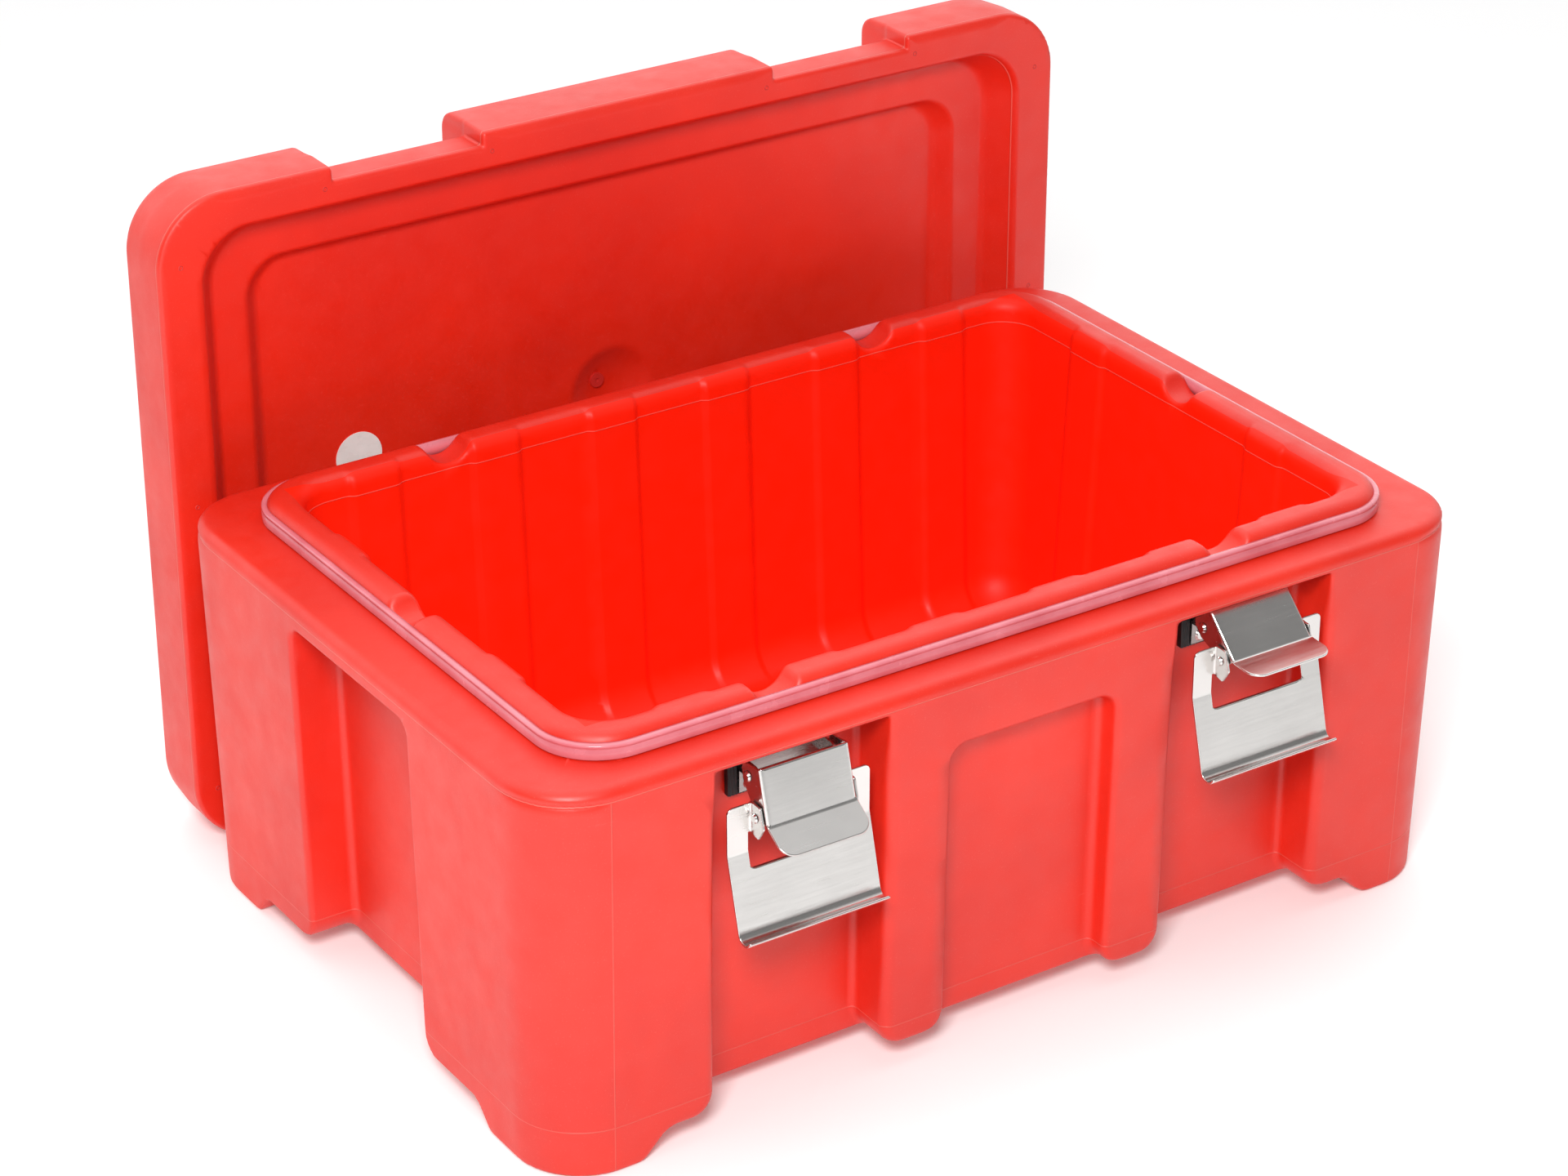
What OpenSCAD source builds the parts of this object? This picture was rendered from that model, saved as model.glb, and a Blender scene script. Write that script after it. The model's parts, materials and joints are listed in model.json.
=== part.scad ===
// Insulated top-loading transport box: a double-walled, foam-filled plastic body with a raised,
// gasketed lip, a loose foam-filled lid that stands on its long edge behind the body, and four
// over-centre latches of folded stainless sheet in open-bottomed wall recesses.
// Millimetres. +X runs along the long side, +Y to the back, +Z up; the origin is the centre of the
// footprint, on the floor.

/* [Body] */
// Outside length of the body at its ledge
box_w = 660; // [640:1:680]
// Outside depth of the body at its ledge
box_d = 446; // [440:1:460]
// Height of the flat ledge above the floor
ledge_z = 252; // [246:1:256]
// Height of the corner feet
foot_h = 15; // [12:1:16]
// Radius of the four upright corners
corner_r = 45; // [38:1:50]
// How far each wall leans in from the ledge down to the floor
lean = 4; // [3:0.5:8]
// Thickness of the moulded plastic skin
skin_t = 5; // [4:0.5:5]

/* [Opening] */
// Clear length between the end walls at the lip
opening_w = 546; // [538:1:550]
// Clear depth between the long walls at the lip
opening_d = 352; // [346:1:356]
// Height of the raised lip above the ledge
lip_h = 15; // [13:1:16]
// Thickness of the lip
lip_t = 20; // [18:0.5:21]
// Height of the inside floor above the ground
floor_z = 48; // [44:1:54]
// How far the vertical ribs stand out of the inside walls
rib_t = 3; // [2:0.5:4]
// Width of one rib
rib_w = 34; // [28:1:38]
// Distance from rib to rib
rib_pitch = 85.6; // [82:0.1:86]
// Distance of each rib of an end wall from the middle
end_rib_y = 91; // [80:1:110]
// Radius of the scoops through the lip
scoop_r = 15; // [10:0.5:17]

/* [Wall recesses] */
// Distance of each latch recess from the middle of the long wall
latch_x = 160.5; // [158:0.5:163]
// Width of a latch recess
latch_recess_w = 116; // [112:1:118]
// Depth of the latch and hand recesses
recess_depth = 32; // [30:0.5:33]
// Distance of the top of a latch recess below the ledge
latch_recess_down = 11; // [9:0.5:13]
// Width of the shallow panel between the two middle posts
panel_w = 118; // [112:1:122]
// Depth of the shallow panel
panel_depth = 16; // [12:1:18]
// Distance of the top of the shallow panel below the ledge
panel_down = 45; // [40:1:50]
// Width of a hand recess in an end wall
hand_w = 140; // [132:1:146]
// Distance of the top of a hand recess below the ledge
hand_down = 17; // [15:1:20]
// Radius of the rounded toes at the bottom of the posts
toe_r = 16; // [10:1:17]

/* [Lid] */
// Length of the lid
lid_w = 666; // [656:1:668]
// Depth of the lid, which is its height as it stands
lid_d = 443; // [438:1:448]
// Full thickness of the lid
lid_t = 56; // [52:1:60]
// Distance of the standing lid behind the body
lid_gap = 9; // [6:0.5:14]
// Sideways offset of the standing lid
lid_x = 10; // [0:0.5:12]
// Length of a cut-back in the lid's long edges, over a latch
lid_cut_w = 105; // [104:1:112]
// Thickness of the flange that the hooks catch
flange_t = 26; // [25.5:0.5:28]
// How far the flange stays behind the lid's outline at a latch
flange_in = 9; // [7:0.5:10]
// Width of the flat band round the underside, at the ends
band_x = 28.5; // [26:0.5:30]
// Width of the flat band round the underside, along the sides
band_y = 24; // [22:0.5:25]
// Depth of the first step of the underside
step_depth = 21; // [18:0.5:21.5]
// Depth of the flat middle panel of the underside
panel_in = 32; // [30:0.5:34]
// Diameter of the round blank label
label_d = 33; // [30:1:40]

/* [Latches] */
// Width of a lever
lever_w = 60; // [58:1:62]
// Width of a hook plate
hook_w = 96; // [92:1:98]
// Thickness of the stainless sheet
sheet_t = 1.5; // [1.2:0.1:1.8]
// Radius of the lever's hinge pin
pin_r = 2; // [1.8:0.1:2.5]
// Radius of the hook plate's rivets
hook_pin_r = 1.5; // [1.2:0.1:1.8]
// How far the left front lever stands open
front_left_open = 16; // [12:1:20]
// How far the right front lever stands open
front_right_open = 46; // [40:1:48]
// How far the rear levers stand open
rear_open = 6; // [4:1:8]
// How far the hanging hook plates lean out at the bottom
hook_lean = 1; // [0:1:4]

/* [Hidden] */
LATCHES = ["front_left", "front_right", "rear_left", "rear_right"];

red = [0.90, 0.16, 0.10];
dark_red = [0.75, 0.12, 0.08];
foam_yellow = [0.93, 0.87, 0.66];
silicone_pink = [0.93, 0.66, 0.72];
steel = [0.78, 0.78, 0.77];
rubber_black = [0.06, 0.06, 0.07];
label_white = [0.95, 0.94, 0.91];

slice = 0.01;                    // thickness of the thin sections that a hull joins
eps = 0.5;                       // how far a cutter reaches past a face
lean_angle = atan(lean / ledge_z);
lip_z = ledge_z + lip_h;
lip_w = opening_w + 2 * lip_t;
lip_d = opening_d + 2 * lip_t;
lip_r = 38;                      // outer corner radius of the lip
inner_r = 24;                    // corner radius of the inside walls
inner_lean = 10;                 // how far the inside walls lean in down to the floor
gasket_t = 3;
gasket_h = 12;
groove_t = 3.4;                  // width of the groove in the ledge that the gasket stands in
groove_deep = 1;
foot_x = box_w / 2 - 67;         // inner end of a foot along X, at the floor
foot_y = box_d / 2 - 78;         // inner end of a foot along Y, at the floor
foot_slope = 14;                 // how much longer a foot is at its top

lid_half = lid_d / 2;
lid_y = box_d / 2 + lid_gap;
step_slope_x = 14;               // how far the first step's end walls slope in
step_slope_y = 8;                // and its long walls
panel_x = 266;                   // half length of the middle panel's upper edge
panel_y = 164;                   // half depth of the middle panel's upper edge
panel_slope_x = 10;              // how far the panel's end walls slope in
panel_slope_y = 4;
dimple_r = 30;
dimple_z = lid_half + 8;
vent_r = 5;

pivot_in = 12.3;                 // hinge pin's distance in from the wall's face
pivot_down = 27.5;               // and below the ledge
floor_y = recess_depth - pivot_in;    // recess floor, measured from the hinge pin
pad_t = 4;
lever_y = -13.7;                 // outer face of a closed lever, from the hinge pin
hook_pin = [-4.8, -23.2];        // hook rivets on a closed lever, as [y, z] from the hinge pin
run_clear = 0.05;                // radial running clearance
hook_half = hook_w / 2;
arm_w = 14;
ear_gap = 0.7;                   // gap between a lever's side and the hook plate's ear

// ---------------------------------------------------------------- plan shapes and frames

// A rectangle with round corners, centred
module round_rect(w, d, r) {
    square([w, d - 2 * r], center = true);
    square([w - 2 * r, d], center = true);
    for (x = [-1, 1], y = [-1, 1])
        translate([x * (w / 2 - r), y * (d / 2 - r)]) circle(r, $fn = 48);
}

// A thin section of the box's outline at height z, brought in by an inset
module section(z, w, d, r, inset) {
    translate([0, 0, z]) linear_extrude(slice)
        round_rect(w - 2 * inset, d - 2 * inset, max(r - inset, 2));
}

// How far a wall has leaned in at height z
function lean_at(z) = lean * (ledge_z - z) / ledge_z;

// Frame of a wall: origin on the ledge's edge, +Y into the body, Z up the leaning face
module on_wall(turn, half) {
    rotate([0, 0, turn]) translate([0, -half, ledge_z]) rotate([lean_angle, 0, 0]) children();
}

// Frame of a latch: origin on its hinge pin, -Y out of the wall
module on_latch(name) {
    front = name == "front_left" || name == "front_right";
    left = name == "front_left" || name == "rear_left";
    x = left == front ? -latch_x : latch_x;
    on_wall(front ? 0 : 180, box_d / 2)
        translate([x, pivot_in, -pivot_down]) children();
}

// Frame of the standing lid: a plan drawn in XY stands up, and its extrusion runs to +Y
module on_lid(y = 0) {
    translate([lid_x, lid_y + y, lid_half]) rotate([90, 0, 0]) mirror([0, 0, 1]) children();
}

// ---------------------------------------------------------------- body

module body_outer(o) {
    hull() {
        section(o > 0 ? foot_h + o : 0, box_w, box_d, corner_r, lean_at(0) + 4 + o);
        section((o > 0 ? foot_h + o : 0) + 4, box_w, box_d, corner_r, lean_at(4) + o);
        section(ledge_z - 7 - o, box_w, box_d, corner_r, o);
        section(ledge_z - slice - o, box_w, box_d, corner_r, 5 + o);
    }
}

// Outline of a recess that is open at the bottom, with flared toes
module recess_outline(w, h, r, o) {
    top = -o;
    difference() {
        union() {
            translate([-w / 2 - o, -h]) square([w + 2 * o, h - r + o]);
            translate([-w / 2 + r, -h]) square([w - 2 * r, h + o]);
            for (s = [-1, 1]) translate([s * (w / 2 - r), -r]) circle(r + o, $fn = 48);
            translate([-w / 2 - toe_r, -h]) square([w + 2 * toe_r, toe_r - o]);
        }
        for (s = [-1, 1])
            translate([s * (w / 2 + toe_r), toe_r - h]) circle(toe_r - o, $fn = 48);
    }
}

// A recess cut into a wall: w wide, from down below the ledge to the underside, depth deep
module recess(turn, half, x, w, down, depth, r, o) {
    h = ledge_z - down - foot_h + 1.5;
    on_wall(turn, half) translate([x, depth + o, -down])
        rotate([90, 0, 0]) linear_extrude(depth + o + 8) union() {
            recess_outline(w, h, r, o);
            translate([-w / 2 - toe_r, -h - 30]) square([w + 2 * toe_r, 30.01]);
        }
}

module recesses(o) {
    for (turn = [0, 180]) {
        for (s = [-1, 1])
            recess(turn, box_d / 2, s * latch_x, latch_recess_w, latch_recess_down,
                   recess_depth, 6, o);
        recess(turn, box_d / 2, 0, panel_w, panel_down, panel_depth, 12, o);
    }
    for (turn = [90, -90])
        recess(turn, box_w / 2, 0, hand_w, hand_down, recess_depth, 6, o);
}

// Two crossing channels under the body leave the four corner feet
module foot_channels() {
    rotate([90, 0, 0]) linear_extrude(box_d + 10, center = true)
        polygon([[-foot_x, -eps], [foot_x, -eps],
                 [foot_x - foot_slope, foot_h], [-foot_x + foot_slope, foot_h]]);
    rotate([90, 0, 90]) linear_extrude(box_w + 10, center = true)
        polygon([[-foot_y, -eps], [foot_y, -eps],
                 [foot_y - foot_slope, foot_h], [-foot_y + foot_slope, foot_h]]);
}

module cavity(o) {
    hull() {
        section(floor_z - o, opening_w, opening_d, inner_r, inner_lean + 14 - o);
        section(floor_z + 4 - o, opening_w, opening_d, inner_r, inner_lean + 5 - o);
        section(floor_z + 14 - o, opening_w, opening_d, inner_r, inner_lean - 0.5 - o);
        section(lip_z - 9, opening_w, opening_d, inner_r, -o);
        section(lip_z + eps, opening_w, opening_d, inner_r, -6 - o);
    }
}

// Vertical ribs on the inside walls, leaning with them
module ribs() {
    height = lip_z - 12 - floor_z;
    inner_angle = atan(inner_lean / height);
    for (turn = [0, 90, 180, 270]) {
        long = turn == 0 || turn == 180;
        half = (long ? opening_d : opening_w) / 2;
        for (along = long ? [-2.5 * rib_pitch:rib_pitch:2.5 * rib_pitch] : [-end_rib_y, end_rib_y])
            rotate([0, 0, turn]) translate([along, -half, lip_z - 12])
                rotate([inner_angle, 0, 0]) translate([-rib_w / 2, -2, -height])
                    cube([rib_w, 2 + rib_t, height]);
    }
}

module lip() {
    translate([0, 0, ledge_z - 1]) linear_extrude(lip_h - 3)
        round_rect(lip_w, lip_d, lip_r);
    hull() {
        section(lip_z - 4, lip_w, lip_d, lip_r, 0);
        section(lip_z - slice, lip_w, lip_d, lip_r, 4.5);
    }
}

// A band round the outside of the lip: t thick, from z up to z + h
module lip_band(t, z, h) {
    translate([0, 0, z]) linear_extrude(h) difference() {
        round_rect(lip_w + 2 * t, lip_d + 2 * t, lip_r + t);
        round_rect(lip_w, lip_d, lip_r);
    }
}

// Half-round scoops through the top of the lip: two in each long side, one in each end
module scoops() {
    reach = lip_t + 12;
    scoop_up = scoop_r - 12;
    for (s = [-1, 1]) {
        for (x = [-latch_x, latch_x])
            translate([x, s * (opening_d / 2 + lip_t / 2), lip_z + scoop_up])
                rotate([90, 0, 0]) cylinder(r = scoop_r, h = reach, center = true, $fn = 48);
        translate([s * (opening_w / 2 + lip_t / 2), 0, lip_z + scoop_up])
            rotate([0, 90, 0]) cylinder(r = scoop_r, h = reach, center = true, $fn = 48);
    }
}

rivet_at = [[-20, -14], [20, -14], [-20, 5], [20, 5]];
rivet_r = 2.4;
rivet_deep = 3.5;

module rivet_holes(from, to) {
    for (p = rivet_at)
        translate([p[0], to, p[1]]) rotate([90, 0, 0])
            cylinder(r = rivet_r + 0.02, h = to - from, $fn = 32);
}

plug_x = 150;
plug_r = 12;
plug_t = 4;

module body_foam() {
    difference() {
        body_outer(skin_t);
        recesses(skin_t);
        cavity(skin_t);
    }
}

module body_shell() {
    color(red) difference() {
        union() {
            difference() {
                body_outer(0);
                recesses(0);
                foot_channels();
            }
            lip();
        }
        difference() {
            cavity(0);
            ribs();
        }
        scoops();
        lip_band(groove_t, ledge_z - groove_deep, lip_h);
        body_foam();
        for (name = LATCHES) on_latch(name) rivet_holes(floor_y - eps, floor_y + rivet_deep);
        for (s = [-1, 1]) translate([s * plug_x, 0, foot_h - eps])
            cylinder(r = plug_r, h = plug_t + eps, $fn = 48);
    }
}

module body_foam_core() {
    color(foam_yellow) body_foam();
}

module body_filling_plugs() {
    color(dark_red) for (s = [-1, 1]) translate([s * plug_x, 0, foot_h])
        cylinder(r = plug_r, h = plug_t, $fn = 48);
}

module lip_gasket() {
    color(silicone_pink) lip_band(gasket_t, ledge_z - groove_deep, gasket_h);
}

// ---------------------------------------------------------------- lid

module lid_outer(o) {
    on_lid() hull() {
        section(o, lid_w, lid_d, corner_r, 3 + o);
        section(4 + o, lid_w, lid_d, corner_r, o);
        section(lid_t - 12 - o, lid_w, lid_d, corner_r, 1.5 + o);
        section(lid_t - 4 - o, lid_w, lid_d, corner_r, 5 + o);
        section(lid_t - slice - o, lid_w, lid_d, corner_r, 12 + o);
    }
}

// Cut-backs over the latches, on both long edges
module lid_cuts(o) {
    for (sx = [-1, 1], sy = [-1, 1]) {
        on_lid(-eps) linear_extrude(flange_t + 2 * eps)
            translate([sx * latch_x, sy * lid_half])
                square([lid_cut_w + 2 * o, 2 * (flange_in + o)], center = true);
        on_lid(flange_t - o) linear_extrude(lid_t + o)
            translate([sx * latch_x, sy * lid_half])
                round_rect(lid_cut_w + 2 * o, 2 * (recess_depth + o), 8);
    }
}

module lid_hollow(o) {
    on_lid() {
        hull() {
            section(-eps, lid_w - 2 * band_x, lid_d - 2 * band_y, 36, -1 - o);
            section(step_depth + o, lid_w - 2 * (band_x + step_slope_x),
                    lid_d - 2 * (band_y + step_slope_y), 30, -o);
        }
        hull() {
            section(step_depth - 1, 2 * panel_x, 2 * panel_y, 28, -2 - o);
            section(panel_in + o, 2 * (panel_x - panel_slope_x),
                    2 * (panel_y - panel_slope_y), 24, -o);
        }
    }
}

vent_x = -8;                     // filling hole, from the middle of the dimple
vent_up = 7;

module lid_foam() {
    difference() {
        lid_outer(skin_t);
        lid_cuts(skin_t);
        lid_hollow(skin_t);
        on_lid(panel_in) translate([0, dimple_z - lid_half])
            cylinder(r = dimple_r + skin_t, h = 4 + skin_t, $fn = 48);
    }
}

module lid_shell() {
    color(red) difference() {
        lid_outer(0);
        lid_cuts(0);
        lid_hollow(0);
        lid_foam();
        // shallow dimple in the middle of the underside, with the filling hole in it
        on_lid(panel_in - 1) translate([0, dimple_z - lid_half])
            cylinder(r1 = dimple_r + 1, r2 = dimple_r - 8, h = 5, $fn = 48);
        on_lid(panel_in - 1) translate([vent_x, dimple_z - lid_half + vent_up])
            cylinder(r = vent_r, h = 8, $fn = 32);
    }
}

module lid_foam_core() {
    color(foam_yellow) lid_foam();
}

module lid_filling_plug() {
    color(dark_red) on_lid(panel_in + 5) translate([vent_x, dimple_z - lid_half + vent_up])
        difference() {
            cylinder(r = vent_r, h = 2, $fn = 32);
            translate([0, 0, -eps]) cylinder(r = 1.5, h = 1 + eps, $fn = 24);
        }
}

module lid_label() {
    color(label_white) on_lid(panel_in - 0.4)
        translate([-189, 9]) cylinder(d = label_d, h = 0.4, $fn = 64);
}

// ---------------------------------------------------------------- latches

// How far a latch's lever stands open
function open_angle(name) = name == "front_left" ? front_left_open
    : name == "front_right" ? front_right_open : rear_open;

// A [y, z] profile extruded along X between x0 and x1
module along_x(x0, x1) {
    translate([x0, 0, 0]) rotate([90, 0, 90]) linear_extrude(x1 - x0) children();
}

// Two mirrored copies, one at each side of a latch
module both_sides() {
    children();
    mirror([1, 0, 0]) children();
}

// A strip of sheet of thickness t along a path of [y, z] points; t lies on the path's right
function unit(v) = v / norm(v);
function right_of(v) = [v[1], -v[0]];
function turn_at(p, i) =
    let (n = len(p) - 1,
         a = unit(p[min(i + 1, n)] - p[min(i, n - 1)]),
         b = unit(p[max(i, 1)] - p[max(i - 1, 0)]),
         m = unit(right_of(a) + right_of(b)))
    m / (m * right_of(a));
module strip(path, t) {
    n = len(path) - 1;
    polygon(concat(path, [for (i = [n:-1:0]) path[i] + t * turn_at(path, i)]));
}

// Points of an arc round c from angle a to angle b
function arc(c, r, a, b, n) =
    [for (i = [0:n]) c + r * [cos(a + (b - a) * i / n), sin(a + (b - a) * i / n)]];

module backing_pad(name) {
    color(rubber_black) on_latch(name) difference() {
        translate([-33, floor_y - pad_t, -21]) cube([66, pad_t, 32]);
        rivet_holes(0, floor_y + eps);
    }
}

plate_front = 14.2;              // outer face of the bracket's back plate, from the hinge pin
ear_in = lever_w / 2 - sheet_t - 2.2;

module base_bracket(name) {
    color(steel) on_latch(name) difference() {
        union() {
            translate([-ear_in, plate_front, -19]) cube([2 * ear_in, sheet_t, 28]);
            both_sides() along_x(ear_in - sheet_t, ear_in) difference() {
                union() {
                    circle(5, $fn = 48);
                    translate([0, -5]) square([plate_front + 0.1, 10]);
                }
                circle(pin_r + 0.02, $fn = 48);
            }
        }
        rivet_holes(0, floor_y);
    }
}

module fixing_rivets(name) {
    head_t = 1.4;
    color(steel) on_latch(name) for (p = rivet_at)
        translate([p[0], plate_front - 0.05, p[1]]) rotate([-90, 0, 0]) {
            translate([0, 0, -head_t]) cylinder(r1 = 2.6, r2 = 3.8, h = head_t, $fn = 32);
            cylinder(r = rivet_r, h = floor_y - plate_front + rivet_deep - 0.1, $fn = 32);
        }
}

module hinge_pin(name) {
    half = lever_w / 2 + 0.3;
    color(steel) on_latch(name) rotate([0, 90, 0]) {
        cylinder(r = pin_r, h = 2 * half + 2, center = true, $fn = 48);
        both_ends() translate([0, 0, half]) cylinder(r1 = 3.4, r2 = 2.6, h = 1.2, $fn = 32);
    }
}

module both_ends() {
    children();
    mirror([0, 0, 1]) children();
}

tab_top = -28.4;                 // where the lever's plate bends into its thumb tab
tab_len = 21;
tab_angle = 42;

module lever(name) {
    tip = [lever_y, tab_top] + tab_len * [-sin(tab_angle), -cos(tab_angle)];
    color(steel) on_latch(name) rotate([-open_angle(name), 0, 0]) difference() {
        union() {
            along_x(-lever_w / 2, lever_w / 2)
                strip([[lever_y, 5], [lever_y, tab_top], tip], -sheet_t);
            both_sides() along_x(lever_w / 2 - sheet_t, lever_w / 2)
                polygon([[lever_y, 4.5], [3, 7.5], [5.5, 4], [5.5, -4], [1.2, -14], [1, -25],
                         [-2, -27], [lever_y, -27]]);
        }
        both_sides() tab_corner();
        rotate([0, 90, 0])
            cylinder(r = pin_r + run_clear, h = lever_w + 2, center = true, $fn = 48);
        translate([0, hook_pin[0], hook_pin[1]]) rotate([0, 90, 0])
            cylinder(r = hook_pin_r + 0.02, h = lever_w + 2, center = true, $fn = 48);
    }
}

// What rounds off one lower corner of the thumb tab
module tab_corner() {
    r = 9;
    translate([lever_w / 2 - r, lever_y, tab_top]) rotate([-tab_angle, 0, 0])
        translate([0, 5, r - tab_len]) rotate([90, 0, 0]) linear_extrude(10) difference() {
            translate([0, -r - 1]) square([r + 1, r + 1]);
            circle(r, $fn = 48);
        }
}

// Frame of a latch's hook rivets, turned so that the hook plate hangs
module on_hook(name) {
    a = open_angle(name);
    on_latch(name)
        translate([0, hook_pin[0] * cos(a) + hook_pin[1] * sin(a),
                   -hook_pin[0] * sin(a) + hook_pin[1] * cos(a)])
            rotate([-hook_lean, 0, 0]) children();
}

ear_x = lever_w / 2 + ear_gap;

module hook_rivets(name) {
    inner = lever_w / 2 - sheet_t;
    color(steel) on_hook(name) both_sides() rotate([0, 90, 0]) {
        translate([0, 0, inner - 1]) cylinder(r = 2.8, h = 1, $fn = 32);
        translate([0, 0, inner - 1])
            cylinder(r = hook_pin_r, h = ear_x + sheet_t + 0.4 - inner + 1, $fn = 48);
        translate([0, 0, ear_x + sheet_t + 0.3]) cylinder(r1 = 3, r2 = 2.2, h = 1.1, $fn = 32);
    }
}

arm_y = 4;                       // arms' outer face, from the hook rivets
bend_z = -22;                    // where the arms bend outward
window_z = -32.5;                  // lower edge of the window that passes the lever
curl_z = -67;                    // where the plate runs into its curl
curl_y = -7.5;
curl_r = 5;

module hook_plate(name) {
    slope = atan((arm_y - curl_y) / (bend_z - curl_z));
    centre = [curl_y, curl_z] - curl_r * [cos(slope), -sin(slope)];
    window_edge = [arm_y - (bend_z - window_z) * tan(slope), window_z];
    color(steel) on_hook(name) difference() {
        union() {
            // plate with its upturned curl
            along_x(-hook_half, hook_half)
                strip(concat([window_edge], arc(centre, curl_r, -slope, -150, 10)), -sheet_t);
            both_sides() {
                // arm
                along_x(hook_half - arm_w, hook_half)
                    strip([[arm_y, 8], [arm_y, bend_z], [curl_y, curl_z]], -sheet_t);
                // ear, bent forward from the arm
                along_x(ear_x, ear_x + sheet_t) ear_outline();
                translate([ear_x, arm_y, -10]) cube([hook_half - ear_x - 2, sheet_t, 17]);
            }
        }
        rotate([0, 90, 0])
            cylinder(r = hook_pin_r + run_clear, h = hook_w + 2, center = true, $fn = 48);
    }
}

module ear_outline() {
    translate([-7, -6]) square([arm_y + 7 + sheet_t, 13]);
    polygon([[-7, -6], [-2, -11], [arm_y + sheet_t, -11], [arm_y + sheet_t, -6]]);
}

// ---------------------------------------------------------------- what is drawn

body_shell();
body_foam_core();
body_filling_plugs();
lip_gasket();
lid_shell();
lid_foam_core();
lid_filling_plug();
lid_label();
for (name = LATCHES) {
    backing_pad(name);
    base_bracket(name);
    fixing_rivets(name);
    hinge_pin(name);
    lever(name);
    hook_rivets(name);
    hook_plate(name);
}
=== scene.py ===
import json
import math

import bpy
import numpy as np
import openvdb
from mathutils import Matrix, Vector


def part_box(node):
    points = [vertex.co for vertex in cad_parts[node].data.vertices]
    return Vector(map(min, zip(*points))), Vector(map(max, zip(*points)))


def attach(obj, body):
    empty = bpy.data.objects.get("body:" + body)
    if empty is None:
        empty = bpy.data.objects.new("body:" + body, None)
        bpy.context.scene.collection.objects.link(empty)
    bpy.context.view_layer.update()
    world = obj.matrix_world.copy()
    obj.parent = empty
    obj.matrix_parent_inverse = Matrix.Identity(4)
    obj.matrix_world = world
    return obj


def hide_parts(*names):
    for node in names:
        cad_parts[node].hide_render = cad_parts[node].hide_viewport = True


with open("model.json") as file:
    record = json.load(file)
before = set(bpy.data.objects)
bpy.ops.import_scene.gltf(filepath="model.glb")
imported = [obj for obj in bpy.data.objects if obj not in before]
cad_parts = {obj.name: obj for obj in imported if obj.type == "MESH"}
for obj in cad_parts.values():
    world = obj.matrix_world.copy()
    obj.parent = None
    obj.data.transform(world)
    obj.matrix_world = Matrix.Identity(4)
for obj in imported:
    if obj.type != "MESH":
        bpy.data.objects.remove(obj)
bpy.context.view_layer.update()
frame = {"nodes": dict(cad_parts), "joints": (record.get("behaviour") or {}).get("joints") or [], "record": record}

# The looks of an insulated transport box. Most shapes are signed distances in millimetres, negative
# inside, that are meshed on a grid; the meshes are in metres.

MM = 0.001
BODY_VOXEL = 2.0
LID_VOXEL = 1.5
LATCH_VOXEL = 0.4
ADAPTIVITY = 0.004
NO_TRIANGLES = np.zeros((0, 3), int)


def node_box(node):
    """Lowest and highest corner of a CAD node, in millimetres."""
    low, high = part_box(node)
    return np.array(low) / MM, np.array(high) / MM


shell_low, shell_high = node_box("body_shell")
gasket_low, gasket_high = node_box("lip_gasket")
lid_low, lid_high = node_box("lid_shell")
hinge_at = {j["name"]: np.array(j["pos_m"]) / MM for j in frame["joints"] if "pos_m" in j}

# Body, in millimetres
BOX_W = shell_high[0] - shell_low[0]
BOX_D = shell_high[1] - shell_low[1]
LIP_Z = shell_high[2]
GROOVE_DEEP = 1.0
LEDGE_Z = gasket_low[2] + GROOVE_DEEP
CORNER_R = 45
WALL_EDGE_R, UNDER_EDGE_R = 7, 3
LEAN = 4
FOOT_H = 15
MOULD_LINE_DOWN = 8
GROOVE_IN, GROOVE_HALF, GROOVE_FADE, PAST_CORNER = 1.6, 1.8, 22, 8
SEAM_X = 286
INNER_LINE_Z = LIP_Z - 15
FOOT_X, FOOT_Y, FOOT_SLOPE = BOX_W / 2 - 67, BOX_D / 2 - 78, 14
FLOOR_Z = 48
OPEN_W, OPEN_D = 546, 352
LIP_T = 20
LIP_R = 38
INNER_R = 26
INNER_LEAN = 10
INSIDE_MARGIN = 2
RIB_T, RIB_W, RIB_PITCH, RIB_END = 2.8, 34, 85.6, 91
RIB_FADE = 2.5
SCOOP_R, SCOOP_DEEP = 15, 12
LATCH_X, LATCH_W, LATCH_TOP, RECESS_DEPTH = 160.5, 116, LEDGE_Z - 11, 32
PANEL_W, PANEL_TOP, PANEL_DEPTH = 118, LEDGE_Z - 45, 16
HAND_W, HAND_TOP = 140, LEDGE_Z - 17
POST_TOP_R, POST_R_GAIN, POST_R_REACH = 1.6, 5, 40
TOE_R = 16
PLUG_X, PLUG_R, PLUG_T = 150, 12, 4

# Lid
LID_X = (lid_low[0] + lid_high[0]) / 2
LID_Y = lid_low[1]
LID_W = lid_high[0] - lid_low[0]
LID_D = lid_high[2] - lid_low[2]
LID_T = lid_high[1] - lid_low[1]
LID_MID_Z = (lid_low[2] + lid_high[2]) / 2
FLANGE_T, FLANGE_IN = 26, 9
LID_CUT_W = 105
BAND_X, BAND_Y = 28.5, 24
STEP_DEPTH, STEP_SLOPE_X, STEP_SLOPE_Y = 21, 14, 8
PANEL_X, PANEL_Y, PANEL_IN, PANEL_SLOPE_X, PANEL_SLOPE_Y = 266, 164, 32, 10, 4
DIMPLE_R, DIMPLE_UP, DIMPLE_BALL_R = 30, 8, 60
VENT_X, VENT_UP, VENT_R, VENT_DEEP = -8, 15, 5, 7
OUTER_TAPER = 2
RIM_LINE_IN = 3.6

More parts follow.
